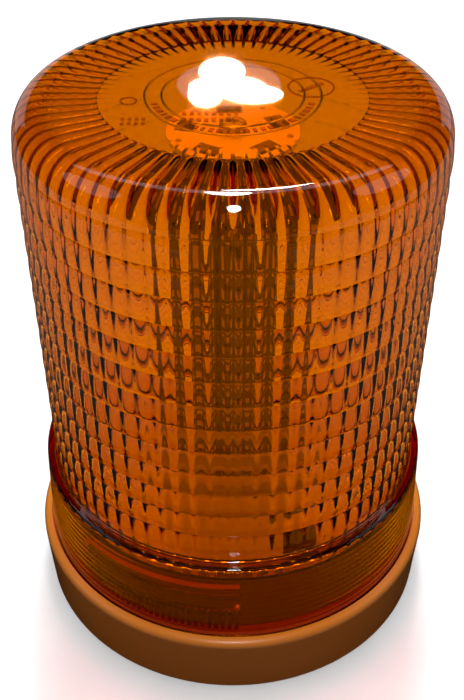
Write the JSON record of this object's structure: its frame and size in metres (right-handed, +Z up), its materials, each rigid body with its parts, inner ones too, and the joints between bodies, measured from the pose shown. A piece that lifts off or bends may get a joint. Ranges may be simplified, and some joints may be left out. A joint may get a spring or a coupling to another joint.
{
  "type": "beacon",
  "caption": "Round amber warning beacon: reeded twist-lock lens over a tower of LED boards on an orange base with a rubber mounting gasket.",
  "frame": {"origin": "centre of the mounting gasket's lower face, on the beacon's axis", "axes": "+Z up along the beacon's axis, -Y towards the front"},
  "size_m": [0.1128, 0.1128, 0.1454],
  "materials": {
    "orange_plastic": "moulded, slight sheen",
    "black_rubber": "matt",
    "brass": "machined",
    "steel": "zinc plated",
    "component_black": "moulded",
    "wire": "insulation",
    "terminal_green": "moulded",
    "white_plastic": "moulded",
    "tower_cap": "white enamel",
    "circuit_board": "solder mask",
    "led_package": "ceramic and silicone",
    "resistor": "thick film",
    "amber_lens": "clear amber polycarbonate, polished"
  },
  "bodies": {
    "base": {"base_housing": "orange_plastic", "board_standoffs": "brass", "cable_grommet": "black_rubber", "capacitors": "component_black", "control_chip": "component_black", "driver_board": "circuit_board", "inductor": "component_black", "led_board_1": "circuit_board", "led_board_2": "circuit_board", "led_board_3": "circuit_board", "led_board_4": "circuit_board", "led_board_5": "circuit_board", "leds_1": "led_package", "leds_2": "led_package", "leds_3": "led_package", "leds_4": "led_package", "leds_5": "led_package", "mounting_gasket": "black_rubber", "plate_screws": "steel", "power_transistors": "component_black", "reflector_plate": "white_plastic", "resistors_1": "resistor", "resistors_2": "resistor", "resistors_3": "resistor", "resistors_4": "resistor", "resistors_5": "resistor", "supply_connector": "component_black", "supply_lead": "wire", "terminal_block": "terminal_green", "terminal_screws": "steel", "threaded_inserts": "brass", "tower_cap": "tower_cap", "tower_lead": "wire", "tower_rod": "steel", "tower_screw": "steel", "tower_socket": "white_plastic"},
    "seal_carrier": {"lens_seal": "black_rubber"},
    "lens": {"lens": "amber_lens"}
  },
  "joints": [
    {"name": "lens_rise", "type": "slide", "parent": "base", "child": "seal_carrier", "axis": [0, 0, 1], "range_m": [0, 0.0015]},
    {"name": "lens_turn", "type": "hinge", "parent": "seal_carrier", "child": "lens", "pos_m": [0, 0, 0.04], "axis": [0, 0, 1], "range_deg": [0, 60]}
  ],
  "couplings": [
    {"joint": "lens_rise", "follows": "lens_turn", "m_per_rad": 0.00143}
  ]
}
